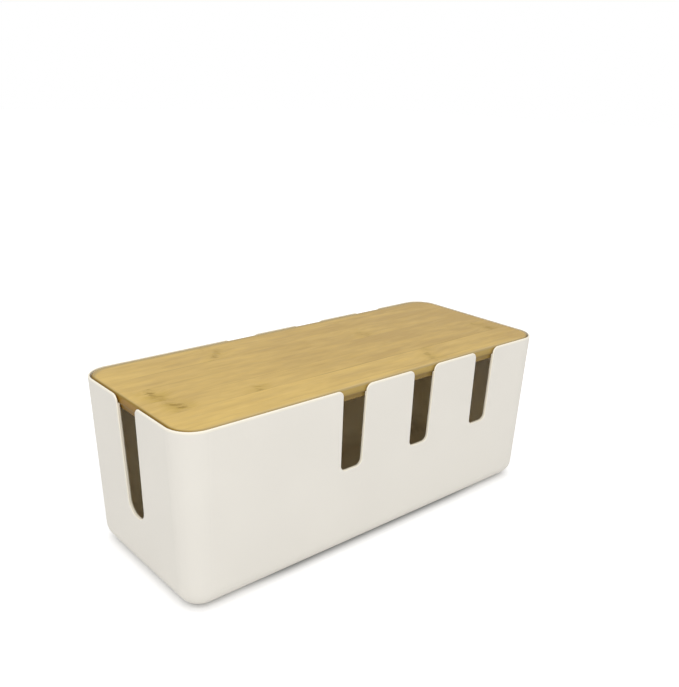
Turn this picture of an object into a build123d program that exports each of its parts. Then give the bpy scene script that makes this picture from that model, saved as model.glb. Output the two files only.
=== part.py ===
"""Cable management box: a moulded open box with seven cable slots and a lift-off bamboo lid.

Millimetres, +Z up. The origin is at the bottom centre, in the plane that the feet stand on.
X runs along the length with the slotted end at -X, and Y from the front (-Y) to the back.
"""

import os
from math import ceil, hypot, radians, tan

from build123d import *

# ---------------------------------------------------------------- driving dimensions

# the whole box, measured over the rim
LENGTH = 303.0
WIDTH = 123.0
HEIGHT = 116.0
RIM_CORNER_RADIUS = 17.0

# moulded shell
DRAFT = 1.5  # degrees that every wall leans in towards the floor
WALL = 2.6
FLOOR = 3.0
BASE_ROUND = 12.0  # outer round between the walls and the floor
LIP = 1.1  # thickness of the rim that is left outside the lid's rebate
EDGE_BEVEL = 0.55  # along the rim and the slots, on the outside
LIP_INNER_BEVEL = 0.25
SLOT_INNER_BEVEL = 0.8

# cable slots, open at the rim and narrower at their end
SLOT_MOUTH_ROUND = 4.5
SIDE_SLOT_RIM_WIDTH = 18.8
SIDE_SLOT_END_WIDTH = 17.0
SIDE_SLOT_DEPTH = 55.2
SIDE_SLOT_END_ROUND = 4.2
SIDE_SLOT_COUNT = 3
SIDE_SLOT_PITCH = 60.5
SIDE_SLOT_CENTRE = 29.2  # X of the middle slot in the front and in the back
LEFT_SLOT_RIM_WIDTH = 22.5
LEFT_SLOT_END_WIDTH = 18.7
LEFT_SLOT_DEPTH = 76.0
LEFT_SLOT_END_ROUND = 8.5

# lid: an upper ply of edge-glued strips on a lower ply that drops inside the ledge
LID_GAP = 1.0  # all round, between the upper ply and the rim
UPPER_PLY = 5.3
UNDER_PLY = 3.6
UNDER_GAP = 0.5  # all round, between the lower ply and the walls
LID_TOP_ROUND = 1.2
LID_UNDER_BEVEL = 0.4
STRIP_WIDTH = 20.5
FIRST_STRIP_WIDTH = 6.8  # the front strip was trimmed when the board was cut to size

# non-slip feet, stuck into round seats under the floor
FOOT_RADIUS = 7.0
FOOT_THICKNESS = 1.6
FOOT_BEVEL = 0.4
FOOT_SEAT_DEPTH = 0.8
FOOT_SEAT_GAP = 0.25
FOOT_MARGIN = 4.0  # from the edge of the floor's flat to the foot

# ---------------------------------------------------------------- derived sizes

SLOPE = tan(radians(DRAFT))
SHELL_BOTTOM = FOOT_THICKNESS - FOOT_SEAT_DEPTH
INNER_FLOOR = SHELL_BOTTOM + FLOOR
INNER_ROUND = BASE_ROUND - WALL
LEDGE = HEIGHT - UPPER_PLY
LID_BOTTOM = LEDGE - UNDER_PLY
LID_INSET = LIP + LID_GAP
UNDER_INSET = WALL + SLOPE * (HEIGHT - LID_BOTTOM) + UNDER_GAP

OVERSHOOT = 5.0  # how far a cutter runs past what it cuts
TINY = 0.01  # tolerance for picking edges and corners by their place


# ---------------------------------------------------------------- moulded shell


def outline(inset):
    """The box's outline at the rim, set in by a distance."""
    return RectangleRounded(LENGTH - 2 * inset, WIDTH - 2 * inset, RIM_CORNER_RADIUS - inset)


def drafted_block(inset, bottom, base_round=0.0):
    """A block from the rim down to a height, with walls that lean in by the draft."""
    block = extrude(Pos(0, 0, HEIGHT) * outline(inset), HEIGHT - bottom, dir=(0, 0, -1), taper=DRAFT)
    if base_round > 0:
        floor = block.faces().sort_by(Axis.Z)[0]
        block = fillet(floor.edges(), base_round)
    return block


def slot_profile(rim_width, end_width, depth, end_round):
    """A slot seen square on, with Y = 0 at the rim: its mouth flares and its end is rounded."""
    rim_half = rim_width / 2
    end_half = end_width / 2
    wing_half = rim_half + 2 * SLOT_MOUTH_ROUND
    profile = make_face(
        Polyline(
            (-wing_half, OVERSHOOT),
            (-wing_half, 0),
            (-rim_half, 0),
            (-end_half, -depth),
            (end_half, -depth),
            (rim_half, 0),
            (wing_half, 0),
            (wing_half, OVERSHOOT),
            close=True,
        )
    )
    mouth = profile.vertices().filter_by(lambda v: abs(v.Y) < TINY and abs(v.X) < wing_half - TINY)
    profile = fillet(mouth, SLOT_MOUTH_ROUND)
    end = profile.vertices().filter_by(lambda v: v.Y < TINY - depth)
    return fillet(end, end_round)


def slot_cutters():
    """One cutter for each slot: matching rows in the front and the back, and one at the left."""
    side_profile = slot_profile(
        SIDE_SLOT_RIM_WIDTH, SIDE_SLOT_END_WIDTH, SIDE_SLOT_DEPTH, SIDE_SLOT_END_ROUND
    )
    left_profile = slot_profile(
        LEFT_SLOT_RIM_WIDTH, LEFT_SLOT_END_WIDTH, LEFT_SLOT_DEPTH, LEFT_SLOT_END_ROUND
    )
    first = SIDE_SLOT_CENTRE - SIDE_SLOT_PITCH * (SIDE_SLOT_COUNT - 1) / 2
    cutters = []
    for index in range(SIDE_SLOT_COUNT):
        rim_centre = (first + index * SIDE_SLOT_PITCH, 0, HEIGHT)
        front = Plane(origin=rim_centre, x_dir=(1, 0, 0), z_dir=(0, -1, 0))
        back = Plane(origin=rim_centre, x_dir=(-1, 0, 0), z_dir=(0, 1, 0))
        cutters += [extrude(wall * side_profile, WIDTH / 2 + OVERSHOOT) for wall in (front, back)]
    left = Plane(origin=(0, 0, HEIGHT), x_dir=(0, -1, 0), z_dir=(-1, 0, 0))
    cutters.append(extrude(left * left_profile, LENGTH / 2 + OVERSHOOT))
    return cutters


def lies_on_wall(edge, inset):
    """True where the middle of an edge lies on the drafted surface of a block with this inset."""
    point = edge @ 0.5
    lean = inset + SLOPE * (HEIGHT - point.Z)
    corner = RIM_CORNER_RADIUS - lean
    past_x = abs(point.X) - (LENGTH / 2 - lean - corner)
    past_y = abs(point.Y) - (WIDTH / 2 - lean - corner)
    distance = hypot(max(past_x, 0), max(past_y, 0)) + min(max(past_x, past_y), 0) - corner
    return abs(distance) < TINY


def foot_places():
    """The feet's names and centres, near the corners of the flat of the floor."""
    edge = SLOPE * (HEIGHT - SHELL_BOTTOM) + BASE_ROUND + FOOT_MARGIN + FOOT_RADIUS
    x = LENGTH / 2 - edge
    y = WIDTH / 2 - edge
    return {
        "foot_front_left": (-x, -y),
        "foot_front_right": (x, -y),
        "foot_back_left": (-x, y),
        "foot_back_right": (x, y),
    }


def cut_edges(shell, cutters, inset):
    """The edges of the rim and the slots along the wall surface with this inset."""

    def is_cut(edge):
        point = edge @ 0.5
        at_rim = abs(point.Z - HEIGHT) < TINY
        return at_rim or any(cutter.distance_to(point) < TINY for cutter in cutters)

    return [edge for edge in shell.edges() if lies_on_wall(edge, inset) and is_cut(edge)]


def make_shell():
    """The box: hollowed, rebated for the lid, slotted, rounded and seated for its feet."""
    shell = drafted_block(0, SHELL_BOTTOM, BASE_ROUND)
    shell -= drafted_block(WALL, INNER_FLOOR, INNER_ROUND)
    shell -= drafted_block(LIP, LEDGE)

    cutters = slot_cutters()
    shell -= cutters
    shell = chamfer(cut_edges(shell, cutters, 0), EDGE_BEVEL)
    shell = chamfer(cut_edges(shell, cutters, LIP), LIP_INNER_BEVEL)
    shell = chamfer(cut_edges(shell, cutters, WALL), SLOT_INNER_BEVEL)

    seat = Cylinder(FOOT_RADIUS + FOOT_SEAT_GAP, 2 * FOOT_SEAT_DEPTH)
    shell -= [Pos(x, y, SHELL_BOTTOM) * seat for x, y in foot_places().values()]
    return shell


def make_feet():
    """The round pads by name, each in its seat under the floor."""
    pad = Pos(0, 0, FOOT_THICKNESS / 2) * Cylinder(FOOT_RADIUS, FOOT_THICKNESS)
    standing_face = pad.faces().sort_by(Axis.Z)[0]
    pad = chamfer(standing_face.edges(), FOOT_BEVEL)
    return {name: Pos(x, y, 0) * pad for name, (x, y) in foot_places().items()}


# ---------------------------------------------------------------- lid


def make_lid():
    """The lid's pieces by name: the strips of the upper ply, then the lower ply."""
    board = extrude(Pos(0, 0, LEDGE) * outline(LID_INSET), UPPER_PLY)
    top = board.faces().sort_by(Axis.Z)[-1]
    board = fillet(top.edges(), LID_TOP_ROUND)

    board_width = WIDTH - 2 * LID_INSET
    strips_after_first = ceil((board_width - FIRST_STRIP_WIDTH) / STRIP_WIDTH)
    pieces = {}
    seam = -board_width / 2 + FIRST_STRIP_WIDTH
    for index in range(strips_after_first + 1):
        blank = Pos(0, seam - STRIP_WIDTH / 2, 0) * Box(LENGTH, STRIP_WIDTH, 3 * HEIGHT)
        pieces[f"lid_strip_{index + 1}"] = board & blank
        seam += STRIP_WIDTH

    under = extrude(Pos(0, 0, LID_BOTTOM) * outline(UNDER_INSET), UNDER_PLY)
    underside = under.faces().sort_by(Axis.Z)[0]
    pieces["lid_under_panel"] = chamfer(underside.edges(), LID_UNDER_BEVEL)
    return pieces


def main():
    os.makedirs("parts", exist_ok=True)
    pieces = {"box_shell": make_shell()}
    pieces.update(make_feet())
    pieces.update(make_lid())
    for name, piece in pieces.items():
        export_step(piece, f"parts/{name}.step")


if __name__ == "__main__":
    main()
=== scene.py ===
"""Looks of the cable management box: moulded white plastic, a bamboo lid and grey feet."""

import math

import bpy
from mathutils import Matrix, Vector


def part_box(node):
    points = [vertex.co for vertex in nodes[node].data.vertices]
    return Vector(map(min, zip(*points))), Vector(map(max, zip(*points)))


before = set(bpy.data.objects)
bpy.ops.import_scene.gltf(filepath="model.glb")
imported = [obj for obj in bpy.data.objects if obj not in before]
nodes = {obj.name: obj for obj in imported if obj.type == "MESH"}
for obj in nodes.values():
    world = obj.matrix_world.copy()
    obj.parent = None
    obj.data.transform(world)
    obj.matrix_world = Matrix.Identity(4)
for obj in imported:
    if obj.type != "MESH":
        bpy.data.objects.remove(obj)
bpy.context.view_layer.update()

MM = 0.001

# ---------------------------------------------------------------- camera, light and floor

# orbit angles in degrees, and the shift as a share of the frame's longer side
CAMERA_AZIMUTH = -41.43
CAMERA_ELEVATION = 22.94
CAMERA_ROLL = 1.87
CAMERA_DISTANCE = 554.4 * MM
CAMERA_TARGET = Vector((10.0, 0.0, 69.8)) * MM
CAMERA_LENS_MM = 40.84
CAMERA_SENSOR_MM = 36.0
CAMERA_SHIFT_Y = 0.0969
CAMERA_CLIP_START = 10.0 * MM

SKY_AT_HORIZON = 0.52
SKY_AT_ZENITH = 1.00
KEY_PLACE = (-0.58, -0.80, 1.0)
KEY_TARGET = (0.0, 0.0, 0.05)
KEY_SIZE = 0.9
KEY_POWER = 5.2

FLOOR_HALF = 6.0
FLOOR_ROUGHNESS = 0.9

# A ramp is four numbers: from one value to another, and what it gives at the first and at the second.
# A band is only the first two, and it mostly gives 0 and 1.

# the painted contact shadow under the box: over the distance out from its wall, and over the size of X
CONTACT_RAMP = (-11.0 * MM, 2.0 * MM, 1.0, 0.0)
CONTACT_ENDS_RAMP = (70.0 * MM, 115.0 * MM, 1.0, 0.0)
# the floor's glow for seen rays, none under the box and most far from it: over the distance out
LIFT_NEAR_RAMP = (-12.0 * MM, 5.0 * MM, 0.0, 0.30)
LIFT_FAR_RAMP = (0.0, 300.0 * MM, 0.0, 0.12)

# ---------------------------------------------------------------- colours and finishes

# colours, linear
FLOOR = (0.86, 0.86, 0.86)
FLOOR_CONTACT_SHADOW = (0.47, 0.47, 0.47)
RUBBER = (0.30, 0.30, 0.29)
PLASTIC = (0.820, 0.786, 0.716)
# painted highlight along the shell's rim and slot edges
PLASTIC_EDGE_HIGHLIGHT = (0.96, 0.90, 0.76)
# painted shade inside the box, warm as light off the bamboo, deeper and darker low down
PLASTIC_INSIDE_SHADE = (0.90, 0.86, 0.77)
PLASTIC_DEEP_SHADE = (0.95, 0.87, 0.66)
PLASTIC_WELL_SHADE = (0.68, 0.60, 0.42)
BAMBOO_LIGHT = (0.675, 0.466, 0.136)
BAMBOO_DARK = (0.480, 0.316, 0.093)
BAMBOO_FIBRE = (0.350, 0.222, 0.050)
BAMBOO_STAIN = (0.460, 0.302, 0.040)
BAMBOO_SCAR = (0.270, 0.165, 0.005)
# painted light on the lid's rounded top edge: a highlight, and shade where it falls into the gap
BAMBOO_EASED_HIGHLIGHT = (0.610, 0.475, 0.235)
BAMBOO_ROUND_SHADE = (0.390, 0.287, 0.122)
BAMBOO_ROUND_SHADE_END = (0.260, 0.160, 0.020)
# the glue line between the plies, with painted shadow under a ply's edge
BAMBOO_GLUE_AND_SHADOW = (0.200, 0.130, 0.045)

# tints that multiply the bamboo's colour: on its sides, on its ends, low on both as painted shade, and
# underneath
SIDE_TINT = (0.74, 0.75, 0.72)
END_TINT = (0.47, 0.36, 0.08)
LOW_SHADE_TINT = (0.72, 0.70, 0.64)
UNDER_TINT = (1.0, 0.88, 0.38)

# finishes: the roughness over the span of the grain, the bump that it makes, and the specular level
PLASTIC_FINISH = {"roughness": (0.58, 0.70), "strength": 0.12, "distance": 0.05 * MM, "specular": 0.3}
RUBBER_FINISH = {"roughness": (0.75, 0.90), "strength": 0.30, "distance": 0.08 * MM, "specular": 0.5}
BAMBOO_FINISH = {"roughness": (0.46, 0.60), "strength": 0.25, "distance": 0.10 * MM, "specular": 0.3}

NOISE_SPAN = (0.3, 0.7)  # most values of a noise lie in it

# ---------------------------------------------------------------- plastic and rubber

# the shell's own sizes
RIM_CORNER_RADIUS = 17.0 * MM
WALL = 2.6 * MM
SLOPE = math.tan(math.radians(1.5))
BASE_ROUND_TOP = 16.0 * MM

PLASTIC_GRAIN_SCALE = 2600.0
PLASTIC_CLOUD_SCALE = 14.0
PLASTIC_CLOUD_BAND = (0.35, 0.65)
PLASTIC_CLOUD_TONE = 0.98
RUBBER_GRAIN_SCALE = 1800.0
RUBBER_DARK_TONE = 0.85

EDGE_BAND = (0.06 * MM, 0.18 * MM)  # depth in the wall
ABOVE_BASE_BAND = (BASE_ROUND_TOP, 1.5 * BASE_ROUND_TOP)  # height
RIM_RAMP = (0.8 * MM, 1.8 * MM, 0.6, 0.0)  # over the distance below the rim
INWARD_BAND = (0.2, 0.4)  # how much a face looks inwards, in half widths of the box
INSIDE_BAND = (0.75 * WALL, 0.95 * WALL)  # depth in the wall
DEEP_RAMP = (45.0 * MM, 105.0 * MM, 1.0, 0.0)  # over the height
WELL_RAMP = (4.0 * MM, 18.0 * MM, 1.0, 0.0)  # over the height

# ---------------------------------------------------------------- bamboo

# lid strips, front to back: how light each is, its back seam (how dark it is, and between which X in mm
# it shows most), and its culm nodes (X in mm at the strip's front edge, how far it slants over the strip
# in mm, how dark it is at the strip's front and at its back)
STRIPS = {
    "lid_strip_1": (0.60, (0.45, -5.0, 75.0), ((43.0, 4.0, 0.3, 0.4),)),
    "lid_strip_2": (0.64, (0.80, -40.0, 135.0), ((45.0, 13.0, 0.4, 0.6),)),
    "lid_strip_3": (
        0.36,
        (0.55, -100.0, -30.0),
        ((-130.5, -1.5, 1.0, 0.9), (-80.0, 6.0, 0.6, 0.0), (135.0, -2.0, 0.5, 0.5)),
    ),
    "lid_strip_4": (0.24, (0.35, -128.0, -85.0), ((-133.5, -2.0, 0.9, 1.0),)),
    "lid_strip_5": (0.32, (0.80, -145.0, -62.0), ((44.0, 2.0, 0.6, 0.1),)),
    "lid_strip_6": (0.34, (0.40, 10.0, 90.0), ((-74.0, 16.0, 0.5, 0.3),)),
    "lid_strip_7": (0.34, (0.30, 0.0, 10.0), ((-68.0, -3.0, 0.5, 0.4),)),
}
NO_SEAM = (0.0, 0.0, 0.0)

# the lower ply, dressed as several strips that share one seam and one row of culm nodes, as above
STRIPS_UNDER = 5
UNDER_LIGHTNESS = 0.45
UNDER_SEAM = (0.5, -150.0, 150.0)
UNDER_CULM_NODES = ((12.0, 3.0, 0.5, 0.7), (-170.0, -3.0, 0.7, 0.4), (175.0, 2.0, 0.6, 0.4))
STRIP_JUMP = 160.0 * MM  # the nodes of its strips are shifted along X by up to half of this
STRIP_TONE = 2.5  # how much its strips differ in tone, per metre of that shift
STRIP_MARGIN = 0.001  # of a strip's width, so that a point on its side counts as in the strip

# noises, read at a point as it is, or where its fibre comes from: the scale per metre along the fibres
# and across them, the detail and the roughness
STRAIGHT_NOISES = {
    "wave": (0.0, 150.0, 2.0, 0.5),
    "swirl": (90.0, 160.0, 1.0, 0.5),
    "patchy": (16.0, 40.0, 2.0, 0.5),
}
BENT_NOISES = {
    "cloud": (14.0, 60.0, 2.0, 0.5),
    "broad": (22.0, 150.0, 2.0, 0.5),
    "mottle": (90.0, 260.0, 1.0, 0.5),
    "streak": (45.0, 420.0, 2.0, 0.5),
    "fine": (60.0, 1700.0, 2.0, 0.6),
    "dashes": (110.0, 2600.0, 1.0, 0.5),
    "blots": (130.0, 210.0, 3.0, 0.7),
    "smudges": (70.0, 90.0, 1.0, 0.5),
}
SEED_SHIFT = (3.7, 1.9, 0.7)  # of the noises, from one piece to the next

# partly the wood's own tone, partly painted shade that darkens the lid towards +X
TONE_AND_SHADE_SLOPE = 1.8  # how much darker the wood gets, of the range between its tones, per metre of X
PATCH_SWINGS = {"cloud": 0.18, "broad": 0.16, "mottle": 0.09}  # of that range
FIBRE_RAMPS = {
    "streak": (0.50, 0.78, 0.0, 0.08),
    "fine": (0.52, 0.80, 0.0, 0.10),
    "dashes": (0.66, 0.76, 0.0, 0.20),
}

# culm nodes
FIBRE_LEAN = 0.45  # how steeply the fibres turn across the strip beside a node
FIBRE_SWIRL = 1.8 * MM  # how far they are pushed to either side there
NODE_WAVER_MM = 1.5
NODE_SIDES = (0.15, 0.85)  # of the strip, between which the darkness changes from front to back
BEND_RAMP = (1.0 * MM, 14.0 * MM, 1.0, 0.0)  # over the distance from the node
SHOULDER_SIDE_RAMP = (-8.0 * MM, -2.0 * MM, 0.4, 0.0)  # over X from the node, so on one side only
SHOULDER_RAMP = (5.0 * MM, 16.0 * MM, 1.0, 0.0)  # over the distance from the node
SMUDGE_RAMP = (1.0 * MM, 14.0 * MM, 0.7, 0.0)  # over the distance from the node
SMUDGE_NOISE_RAMP = (0.38, 0.62, 0.2, 1.0)
SCAR_RAMP = (0.5 * MM, 6.5 * MM, 1.0, 0.0)  # over the distance from the node
SCAR_RAISE = 0.12  # added to the blots' noise at the node, so that more of them show there
BLOT_NOISE_RAMP = (0.54, 0.74, 0.0, 0.9)
DASH_NOISE_RAMP = (0.50, 0.70, 0.0, 0.6)

# seams between strips
SEAM_BAND = (0.15 * MM, 0.60 * MM)  # distance from the strip's side
SEAM_NOISE_RAMP = (0.38, 0.62, 0.35, 1.0)
SEAM_RUN_MM = 12.0  # half the length over which a seam turns from faint to dark
SEAM_FAINT = 0.2

# faces, by a part of their normal, and what lies on them
SIDE_BAND = (0.45, 0.80)
END_BAND = (0.40, 0.80)
UPWARD_BAND = (0.1, 0.4)
ROUND_END_BAND = (0.1, 0.5)
UNDER_RAMP = (-0.8, -0.4, 1.0, 0.0)
LOW_SHADE_BAND = (2.0 * MM, 6.0 * MM)  # distance below the lid's top
GLUE_AND_SHADOW_RAMP = (0.2 * MM, 1.1 * MM, 0.75, 0.0)  # over the height above the ply's bottom

LID_TOP_ROUND = 1.2 * MM
# the painted highlight along the top edge, over the distance in from the lid's outline, and how it ends
# over the size of X
EASED_RAMP = (0.6 * LID_TOP_ROUND, 2.4 * LID_TOP_ROUND, 0.55, 0.0)
EASED_ENDS_RAMP = (122.0 * MM, 138.0 * MM, 1.0, 0.0)
# the brown painted shade on the round: the distances in from the outline at which it is full and at which
# it is gone grow towards the back, over Y, and the second one also towards the ends, over the size of X
ROUND_FULL_RAMP = (40.0 * MM, 56.0 * MM, 0.15 * LID_TOP_ROUND, 1.6 * LID_TOP_ROUND)
ROUND_GONE_RAMP = (40.0 * MM, 56.0 * MM, 0.9 * LID_TOP_ROUND, 5.0 * LID_TOP_ROUND)
ROUND_GONE_ENDS_RAMP = (126.0 * MM, 142.0 * MM, 1.15 * LID_TOP_ROUND, 1.9 * LID_TOP_ROUND)
ROUND_SHARE = 0.85

# the highest corners of the shell and of the lid's upper ply
SHELL_HIGH = Vector(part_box("box_shell")[1])
LID_HIGH = Vector([max(values) for values in zip(*(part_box(strip)[1] for strip in STRIPS))])


# ---------------------------------------------------------------- node helpers


class Shader:
    """A node material with short calls for adding and linking nodes, and a colour that grows in layers."""

    def __init__(self, name):
        self.material = bpy.data.materials.new(name)
        self.material.use_nodes = True
        self.tree = self.material.node_tree
        self.principled = self.tree.nodes["Principled BSDF"]
        coordinates = self.tree.nodes.new("ShaderNodeTexCoord")
        self.position = coordinates.outputs["Object"]
        self.x, self.y, self.z = self.separate(self.position)
        self.normal_x, self.normal_y, self.normal_z = self.separate(coordinates.outputs["Normal"])
        self.colour = None

    def node(self, kind, **settings):
        made = self.tree.nodes.new(kind)
        for key, value in settings.items():
            setattr(made, key, value)
        return made

    def feed(self, socket, value):
        """Link a socket to another node's output, or set it to a plain value."""
        if isinstance(value, bpy.types.NodeSocket):
            self.tree.links.new(value, socket)
        else:
            socket.default_value = value

    def separate(self, vector):
        made = self.node("ShaderNodeSeparateXYZ")
        self.feed(made.inputs[0], vector)
        return made.outputs

    def combine(self, x, y, z):
        made = self.node("ShaderNodeCombineXYZ")
        for socket, value in zip(made.inputs, (x, y, z)):
            self.feed(socket, value)
        return made.outputs[0]

    def math(self, operation, first, second=0.0):
        made = self.node("ShaderNodeMath", operation=operation)
        for socket, value in zip(made.inputs, (first, second)):
            self.feed(socket, value)
        return made.outputs[0]

    def plus(self, first, second):
        return self.math("ADD", first, second)

    def minus(self, first, second):
        return self.math("SUBTRACT", first, second)

    def times(self, first, second):
        return self.math("MULTIPLY", first, second)

    def size(self, value):
        return self.math("ABSOLUTE", value)

    def scaled(self, vector, scale, offset):
        """A position in metres, scaled and shifted along each axis."""
        made = self.node("ShaderNodeMapping")
        self.feed(made.inputs["Vector"], vector)
        made.inputs["Scale"].default_value = scale
        made.inputs["Location"].default_value = offset
        return made.outputs["Vector"]

    def noise(self, vector, scale=1.0, detail=2.0, roughness=0.5):
        made = self.node("ShaderNodeTexNoise")
        self.feed(made.inputs["Vector"], vector)
        made.inputs["Scale"].default_value = scale
        made.inputs["Detail"].default_value = detail
        made.inputs["Roughness"].default_value = roughness
        return made.outputs["Fac"]

    def chance(self, value):
        """A number from 0 to 1 that only depends on the value."""
        made = self.node("ShaderNodeTexWhiteNoise", noise_dimensions="1D")
        self.feed(made.inputs["W"], value)
        return made.outputs["Value"]

    def ramp(self, value, low, high, low_to=0.0, high_to=1.0, smooth=True):
        """What a ramp gives at a value, and beyond its two ends what it gives there."""
        made = self.node("ShaderNodeMapRange")
        made.interpolation_type = "SMOOTHSTEP" if smooth else "LINEAR"
        for name, number in (
            ("Value", value),
            ("From Min", low),
            ("From Max", high),
            ("To Min", low_to),
            ("To Max", high_to),
        ):
            self.feed(made.inputs[name], number)
        return made.outputs["Result"]

    def spread(self, noise, low_to, high_to, smooth=True):
        """A noise spread from one number to another."""
        return self.ramp(noise, *NOISE_SPAN, low_to, high_to, smooth)

    def mix(self, share, first, second, blend="MIX"):
        made = self.node("ShaderNodeMix", data_type="RGBA", blend_type=blend)
        colours = [socket for socket in made.inputs if socket.type == "RGBA"]
        self.feed(made.inputs[0], share)
        for socket, colour in zip(colours, (first, second)):
            if not isinstance(colour, bpy.types.NodeSocket):
                colour = (*colour, 1.0)
            self.feed(socket, colour)
        return [socket for socket in made.outputs if socket.type == "RGBA"][0]

    def paint(self, share, colour, blend="MIX"):
        """Lay a colour over what is there, by a share from 0 to 1."""
        self.colour = self.mix(share, self.colour, colour, blend)

    def set(self, **inputs):
        """Feed sockets of the Principled shader, with their names written with underscores."""
        for name, value in inputs.items():
            self.feed(self.principled.inputs[name.replace("_", " ")], value)

    def finish(self, grain, roughness, strength, distance, specular):
        """Set the colour, and the roughness and the bump that follow the grain."""
        self.set(Base_Color=self.colour, Roughness=self.spread(grain, *roughness))
        self.principled.inputs["Specular IOR Level"].default_value = specular
        bump = self.node("ShaderNodeBump")
        bump.inputs["Strength"].default_value = strength
        bump.inputs["Distance"].default_value = distance
        self.feed(bump.inputs["Height"], grain)
        self.set(Normal=bump.outputs["Normal"])
        return self.material


def depth_inside(shader, half_x, half_y, corner):
    """How far a point lies inside the outline of an upright block with round corners, in metres."""
    past_x = shader.minus(shader.size(shader.x), half_x - corner)
    past_y = shader.minus(shader.size(shader.y), half_y - corner)
    out_x = shader.math("MAXIMUM", past_x, 0.0)
    out_y = shader.math("MAXIMUM", past_y, 0.0)
    square = shader.plus(shader.times(out_x, out_x), shader.times(out_y, out_y))
    round_part = shader.math("SQRT", square)
    flat_part = shader.math("MINIMUM", shader.math("MAXIMUM", past_x, past_y), 0.0)
    return shader.minus(corner, shader.plus(round_part, flat_part))


def depth_in_wall(shader):
    """How far a point lies inside the shell's drafted outer wall, in metres."""
    lean = shader.times(shader.minus(SHELL_HIGH.z, shader.z), SLOPE)
    return shader.minus(depth_inside(shader, SHELL_HIGH.x, SHELL_HIGH.y, RIM_CORNER_RADIUS), lean)


def depth_in_lid(shader):
    """How far a point lies inside the outline of the lid's upper ply, in metres."""
    corner = RIM_CORNER_RADIUS - (SHELL_HIGH.x - LID_HIGH.x)
    return depth_inside(shader, LID_HIGH.x, LID_HIGH.y, corner)


# ---------------------------------------------------------------- plastic and rubber


def paint_edge_highlights(shader, depth):
    """Painted highlights: lighter, warmer edges along the slots and the rim, where light catches them."""
    edge = shader.times(shader.ramp(depth, *EDGE_BAND), shader.ramp(shader.z, *ABOVE_BASE_BAND))
    rim = shader.ramp(shader.minus(SHELL_HIGH.z, shader.z), *RIM_RAMP)
    shader.paint(shader.math("MAXIMUM", edge, rim), PLASTIC_EDGE_HIGHLIGHT)


def paint_inside_shade(shader, depth):
    """Painted shade inside: a creamy tone, warmed as by light off the bamboo, that deepens downwards and
    darkens near the floor; its faces look to the middle of the box, or up.
    """
    outward = shader.plus(
        shader.times(shader.normal_x, shader.x),
        shader.times(shader.normal_y, shader.y),
    )
    upward = shader.times(shader.normal_z, SHELL_HIGH.y)
    inward_from, inward_to = (share * SHELL_HIGH.y for share in INWARD_BAND)
    inward = shader.ramp(shader.minus(upward, outward), inward_from, inward_to)
    inside = shader.times(inward, shader.ramp(depth, *INSIDE_BAND))
    deep = shader.ramp(shader.z, *DEEP_RAMP)
    shader.paint(inside, shader.mix(deep, PLASTIC_INSIDE_SHADE, PLASTIC_DEEP_SHADE))
    shader.paint(shader.times(inward, shader.ramp(shader.z, *WELL_RAMP)), PLASTIC_WELL_SHADE)


def make_plastic():
    """White moulded plastic with a fine texture."""
    shader = Shader("white_plastic")
    grain = shader.noise(shader.position, PLASTIC_GRAIN_SCALE)
    cloud = shader.noise(shader.position, PLASTIC_CLOUD_SCALE)
    darker = tuple(part * PLASTIC_CLOUD_TONE for part in PLASTIC)
    shader.colour = shader.mix(shader.ramp(cloud, *PLASTIC_CLOUD_BAND), darker, PLASTIC)
    depth = depth_in_wall(shader)
    paint_edge_highlights(shader, depth)
    paint_inside_shade(shader, depth)
    return shader.finish(grain, **PLASTIC_FINISH)


def make_rubber():
    """Grey non-slip rubber."""
    shader = Shader("foot_rubber")
    grain = shader.noise(shader.position, RUBBER_GRAIN_SCALE, detail=3.0)
    darker = tuple(part * RUBBER_DARK_TONE for part in RUBBER)
    shader.colour = shader.mix(grain, darker, RUBBER)
    return shader.finish(grain, **RUBBER_FINISH)


# ---------------------------------------------------------------- bamboo


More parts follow.
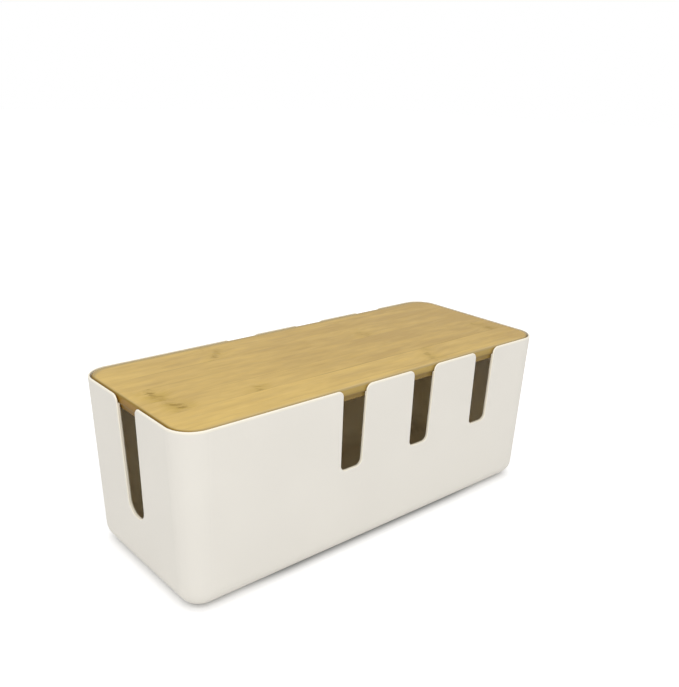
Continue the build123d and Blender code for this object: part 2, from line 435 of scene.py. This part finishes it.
class Bamboo(Shader):
    """Flat-pressed bamboo with its fibres along X, as one strip or as several side by side."""

    def __init__(self, name, node_name, seed, strips_across):
        super().__init__(name)
        low, high = (Vector(corner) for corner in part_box(node_name))
        self.bottom = low.z
        self.shift = tuple(seed * step for step in SEED_SHIFT)
        self.straight = self.noises(STRAIGHT_NOISES, self.position)
        self.strip_width = (high.y - low.y) / strips_across
        across = self.math("DIVIDE", self.minus(self.y, low.y), self.strip_width)
        across = self.math("MAXIMUM", across, STRIP_MARGIN)
        across = self.math("MINIMUM", across, strips_across - STRIP_MARGIN)
        # from 0 at the strip's front to 1 at its back
        self.sideways = self.math("FRACT", across)
        chance = self.chance(self.math("FLOOR", across))
        jump = STRIP_JUMP if strips_across > 1 else 0.0
        self.shift_along = self.times(self.minus(chance, 0.5), jump)

    def noises(self, table, place):
        """The noises of a table at a place, by name."""
        made = {}
        for name, (along, across, detail, roughness) in table.items():
            stretched = self.scaled(place, (along, across, across), self.shift)
            made[name] = self.noise(stretched, detail=detail, roughness=roughness)
        return made

    def bend_fibres(self, culm_nodes):
        """Bend the fibres beside the culm nodes, and keep where each node lies and how dark it is."""
        self.scars = []
        bend = 0.0
        turn = 0.0
        for place, slant, dark_front, dark_back in culm_nodes:
            darkness = self.ramp(self.sideways, *NODE_SIDES, dark_front, dark_back)
            waver = ((place - NODE_WAVER_MM) * MM, (place + NODE_WAVER_MM) * MM)
            line = self.spread(self.straight["wave"], *waver, smooth=False)
            line = self.plus(line, self.times(self.sideways, slant * MM))
            offset = self.minus(self.plus(self.x, self.shift_along), line)
            distance = self.size(offset)
            near = self.ramp(distance, *BEND_RAMP)
            bend = self.plus(bend, near)
            turn = self.plus(turn, self.times(self.times(offset, near), FIBRE_LEAN))
            self.scars.append((offset, distance, darkness))
        swirl = self.spread(self.straight["swirl"], -FIBRE_SWIRL, FIBRE_SWIRL, smooth=False)
        push = self.plus(self.times(swirl, bend), turn)
        self.bent = self.noises(BENT_NOISES, self.combine(self.x, self.plus(self.y, push), self.z))

    def lay_fibres(self, lightness):
        """Soft tonal patches, fine streaks, and short dark dashes of vascular bundles."""
        # the tone falls along X, partly as painted shade
        tone = self.minus(lightness, self.times(self.x, TONE_AND_SHADE_SLOPE))
        tone = self.plus(tone, self.times(self.shift_along, STRIP_TONE))
        for name, swing in PATCH_SWINGS.items():
            tone = self.plus(tone, self.spread(self.bent[name], -swing, swing))
        self.colour = self.mix(tone, BAMBOO_DARK, BAMBOO_LIGHT)
        for name, ramp in FIBRE_RAMPS.items():
            self.paint(self.ramp(self.bent[name], *ramp), BAMBOO_FIBRE)

    def add_scars(self):
        """At each culm node a paler shoulder, a soft smudge, and dark blots and dashes along the fibres."""
        smudges = self.ramp(self.bent["smudges"], *SMUDGE_NOISE_RAMP)
        dashes = self.ramp(self.bent["dashes"], *DASH_NOISE_RAMP)
        for offset, distance, darkness in self.scars:
            near = self.ramp(distance, *SCAR_RAMP)
            raised = self.plus(self.bent["blots"], self.times(near, SCAR_RAISE))
            shoulder = self.ramp(offset, *SHOULDER_SIDE_RAMP)
            layers = (
                (self.times(shoulder, self.ramp(distance, *SHOULDER_RAMP)), BAMBOO_LIGHT),
                (self.times(smudges, self.ramp(distance, *SMUDGE_RAMP)), BAMBOO_STAIN),
                (self.times(near, self.ramp(raised, *BLOT_NOISE_RAMP)), BAMBOO_SCAR),
                (self.times(near, dashes), BAMBOO_FIBRE),
            )
            for share, colour in layers:
                self.paint(self.times(share, darkness), colour)

    def add_seams(self, seams):
        """A glue line at the front and at the back of a strip, dark along a stretch and faint beyond."""
        patchy = self.ramp(self.straight["patchy"], *SEAM_NOISE_RAMP)
        from_front = self.times(self.sideways, self.strip_width)
        from_back = self.minus(self.strip_width, from_front)
        for distance, (darkness, start, end) in zip((from_front, from_back), seams):
            line = self.ramp(distance, *SEAM_BAND, darkness, 0.0)
            opening = ((start - SEAM_RUN_MM) * MM, (start + SEAM_RUN_MM) * MM, SEAM_FAINT, 1.0)
            closing = ((end - SEAM_RUN_MM) * MM, (end + SEAM_RUN_MM) * MM, 1.0, SEAM_FAINT)
            stretch = self.math("MINIMUM", self.ramp(self.x, *opening), self.ramp(self.x, *closing))
            self.paint(self.times(line, self.times(stretch, patchy)), BAMBOO_FIBRE)

    def dull_cut_faces(self):
        """Duller sides and darker end grain, both darker still low down with painted shade."""
        side = self.ramp(self.size(self.normal_y), *SIDE_BAND)
        end = self.ramp(self.size(self.normal_x), *END_BAND)
        self.cut = self.math("MAXIMUM", side, end)
        low = self.times(self.cut, self.ramp(self.minus(LID_HIGH.z, self.z), *LOW_SHADE_BAND))
        for share, tint in ((side, SIDE_TINT), (end, END_TINT), (low, LOW_SHADE_TINT)):
            self.paint(share, tint, "MULTIPLY")

    def paint_light_on_rounded_edge(self):
        """Painted light on the rounded top edge: a paler highlight where it starts, and brown shade where
        it falls away into the gap.
        """
        inset = depth_in_lid(self)
        along = self.size(self.x)
        upward = self.ramp(self.normal_z, *UPWARD_BAND)
        eased = self.times(self.ramp(inset, *EASED_RAMP), self.ramp(along, *EASED_ENDS_RAMP))
        self.paint(self.times(eased, upward), BAMBOO_EASED_HIGHLIGHT)
        full = self.ramp(self.y, *ROUND_FULL_RAMP)
        gone = (self.ramp(self.y, *ROUND_GONE_RAMP), self.ramp(along, *ROUND_GONE_ENDS_RAMP))
        rounded = self.ramp(inset, full, self.math("MAXIMUM", *gone), ROUND_SHARE, 0.0)
        at_end = self.ramp(self.size(self.normal_x), *ROUND_END_BAND)
        self.paint(self.times(rounded, upward), self.mix(at_end, BAMBOO_ROUND_SHADE, BAMBOO_ROUND_SHADE_END))

    def tint_underside(self):
        """A deeper tone underneath."""
        self.paint(self.ramp(self.normal_z, *UNDER_RAMP), UNDER_TINT, "MULTIPLY")

    def add_glue_and_shadow_line(self):
        """A dark line along the foot of a ply's cut faces: partly the glue line where the two plies meet,
        partly painted shadow under a ply's edge.
        """
        line = self.ramp(self.minus(self.z, self.bottom), *GLUE_AND_SHADOW_RAMP)
        self.paint(self.times(line, self.cut), BAMBOO_GLUE_AND_SHADOW)


def make_bamboo(name, node_name, lightness, seams, culm_nodes, seed, strips_across=1):
    """The bamboo of one piece of the lid."""
    bamboo = Bamboo(name, node_name, seed, strips_across)
    bamboo.bend_fibres(culm_nodes)
    bamboo.lay_fibres(lightness)
    bamboo.add_scars()
    bamboo.add_seams(seams)
    bamboo.dull_cut_faces()
    bamboo.paint_light_on_rounded_edge()
    bamboo.tint_underside()
    bamboo.add_glue_and_shadow_line()
    return bamboo.finish(bamboo.bent["fine"], **BAMBOO_FINISH)


# ---------------------------------------------------------------- dressing


def dress(name, material):
    """Give a CAD node one material."""
    slots = nodes[name].data.materials
    slots.clear()
    slots.append(material)


def dress_box():
    dress("box_shell", make_plastic())
    rubber = make_rubber()
    for foot in [name for name in nodes if name.startswith("foot_")]:
        dress(foot, rubber)


def dress_lid():
    front_seam = NO_SEAM
    for seed, (strip, (lightness, back_seam, culm_nodes)) in enumerate(STRIPS.items(), start=1):
        seams = (front_seam, back_seam)
        dress(strip, make_bamboo(f"bamboo_{strip}", strip, lightness, seams, culm_nodes, seed))
        front_seam = back_seam
    panel = "lid_under_panel"
    material = make_bamboo(
        "bamboo_under_panel",
        panel,
        UNDER_LIGHTNESS,
        (UNDER_SEAM, UNDER_SEAM),
        UNDER_CULM_NODES,
        len(STRIPS) + 1,
        STRIPS_UNDER,
    )
    dress(panel, material)


# ---------------------------------------------------------------- floor, light and camera


def seen_rays(tree):
    """1 on camera, glossy and transmission rays, which see the white background."""
    path = tree.nodes.new("ShaderNodeLightPath")
    total = path.outputs["Is Camera Ray"]
    for name in ("Is Glossy Ray", "Is Transmission Ray"):
        larger = tree.nodes.new("ShaderNodeMath")
        larger.operation = "MAXIMUM"
        tree.links.new(total, larger.inputs[0])
        tree.links.new(path.outputs[name], larger.inputs[1])
        total = larger.outputs[0]
    return total


def make_floor_material():
    """Pale, with a painted contact shadow where the middle of the box nearly touches it, and lifted to
    white for seen rays.
    """
    shader = Shader("floor")
    from_wall = shader.times(depth_in_wall(shader), -1.0)
    ends = shader.ramp(shader.size(shader.x), *CONTACT_ENDS_RAMP)
    contact = shader.times(shader.ramp(from_wall, *CONTACT_RAMP), ends)
    lift = shader.plus(shader.ramp(from_wall, *LIFT_NEAR_RAMP), shader.ramp(from_wall, *LIFT_FAR_RAMP))
    shader.set(
        Base_Color=shader.mix(contact, FLOOR, FLOOR_CONTACT_SHADOW),
        Roughness=FLOOR_ROUGHNESS,
        Emission_Color=(1.0, 1.0, 1.0, 1.0),
        Emission_Strength=shader.times(seen_rays(shader.tree), lift),
    )
    return shader.material


def make_floor():
    """A wide pale floor that reads as white and keeps the box's shadow."""
    mesh = bpy.data.meshes.new("floor")
    corners = [(x, y, 0.0) for x, y in ((-1, -1), (1, -1), (1, 1), (-1, 1))]
    mesh.from_pydata([Vector(corner) * FLOOR_HALF for corner in corners], [], [(0, 1, 2, 3)])
    mesh.materials.append(make_floor_material())
    floor = bpy.data.objects.new("floor", mesh)
    bpy.context.scene.collection.objects.link(floor)


def make_world():
    """A soft sky, brighter overhead, that seen rays see as plain white."""
    world = bpy.data.worlds.new("studio")
    world.use_nodes = True
    bpy.context.scene.world = world
    tree = world.node_tree
    background = tree.nodes["Background"]
    background.inputs["Color"].default_value = (1.0, 1.0, 1.0, 1.0)
    direction = tree.nodes.new("ShaderNodeTexCoord").outputs["Generated"]
    parts = tree.nodes.new("ShaderNodeSeparateXYZ")
    tree.links.new(direction, parts.inputs[0])
    sky = tree.nodes.new("ShaderNodeMapRange")
    tree.links.new(parts.outputs["Z"], sky.inputs["Value"])
    sky.inputs["To Min"].default_value = SKY_AT_HORIZON
    sky.inputs["To Max"].default_value = SKY_AT_ZENITH
    mix = tree.nodes.new("ShaderNodeMix")
    mix.data_type = "FLOAT"
    tree.links.new(seen_rays(tree), mix.inputs["Factor"])
    tree.links.new(sky.outputs["Result"], mix.inputs["A"])
    mix.inputs["B"].default_value = 1.0
    tree.links.new(mix.outputs["Result"], background.inputs["Strength"])


def make_key_lamp():
    """One large soft lamp in front, to the left and above."""
    lamp = bpy.data.lights.new("key", "AREA")
    lamp.size = KEY_SIZE
    lamp.energy = KEY_POWER
    holder = bpy.data.objects.new("key", lamp)
    holder.location = KEY_PLACE
    aim = Vector(KEY_TARGET) - Vector(KEY_PLACE)
    holder.rotation_euler = aim.to_track_quat("-Z", "Y").to_euler()
    bpy.context.scene.collection.objects.link(holder)


def camera_place():
    """The camera's matrix, from its orbit round the target and its roll."""
    azimuth = math.radians(CAMERA_AZIMUTH)
    elevation = math.radians(CAMERA_ELEVATION)
    back = Vector(
        (
            math.sin(azimuth) * math.cos(elevation),
            -math.cos(azimuth) * math.cos(elevation),
            math.sin(elevation),
        )
    )
    right = Vector((0, 0, 1)).cross(back).normalized()
    rotation = Matrix((right, back.cross(right), back)).transposed()
    roll = Matrix.Rotation(math.radians(CAMERA_ROLL), 3, "Z")
    return Matrix.Translation(CAMERA_TARGET + back * CAMERA_DISTANCE) @ (rotation @ roll).to_4x4()


def make_camera():
    camera = bpy.data.cameras.new("camera")
    camera.lens = CAMERA_LENS_MM
    camera.sensor_width = CAMERA_SENSOR_MM
    camera.shift_y = CAMERA_SHIFT_Y
    camera.clip_start = CAMERA_CLIP_START
    holder = bpy.data.objects.new("camera", camera)
    holder.matrix_world = camera_place()
    bpy.context.scene.collection.objects.link(holder)
    bpy.context.scene.camera = holder


dress_box()
dress_lid()
make_floor()
make_world()
make_key_lamp()
make_camera()
bpy.context.scene.view_settings.view_transform = "Standard"
